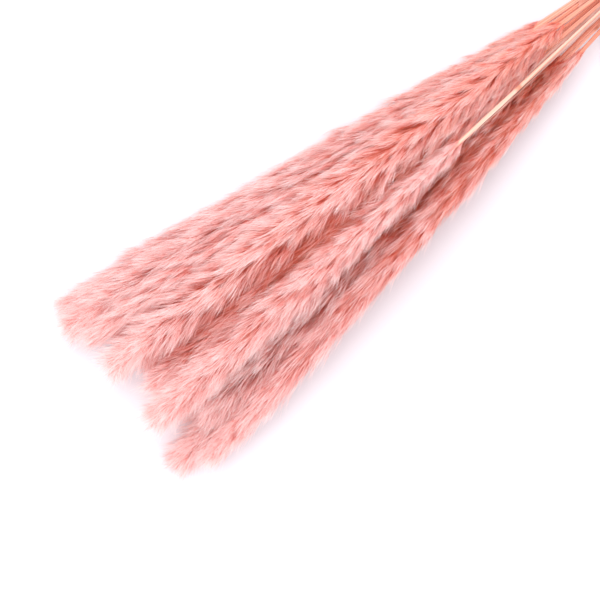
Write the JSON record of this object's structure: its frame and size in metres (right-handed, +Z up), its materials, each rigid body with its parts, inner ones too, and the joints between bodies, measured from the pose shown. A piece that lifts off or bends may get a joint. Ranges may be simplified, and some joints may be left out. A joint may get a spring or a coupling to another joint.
{
  "type": "bundle of dyed pampas grass",
  "caption": "Flat-lying bundle of pink-dyed plume grass: long soft plumes on cut stems that fan out from an elastic band, with dry leaf sheaths on some stems.",
  "frame": {"origin": "middle of the bundle's length and width, on the surface it lies on", "axes": "+X from the cut stem ends to the plume tips, +Y across the bundle, +Z up"},
  "size_m": [0.6, 0.1612, 0.0654],
  "materials": {
    "plume": "matte",
    "stem": "satin",
    "sheath": "matte",
    "band": "satin"
  },
  "bodies": {
    "root": {"elastic_band": "band", "leaf_sheath_01": "sheath", "leaf_sheath_09": "sheath", "leaf_sheath_12": "sheath", "leaf_sheath_14": "sheath", "plume_01": "plume", "plume_02": "plume", "plume_03": "plume", "plume_04": "plume", "plume_05": "plume", "plume_06": "plume", "plume_07": "plume", "plume_08": "plume", "plume_09": "plume", "plume_10": "plume", "plume_11": "plume", "plume_12": "plume", "plume_13": "plume", "plume_14": "plume", "stem_01": "stem", "stem_02": "stem", "stem_03": "stem", "stem_04": "stem", "stem_05": "stem", "stem_06": "stem", "stem_07": "stem", "stem_08": "stem", "stem_09": "stem", "stem_10": "stem", "stem_11": "stem", "stem_12": "stem", "stem_13": "stem", "stem_14": "stem"}
  },
  "joints": []
}
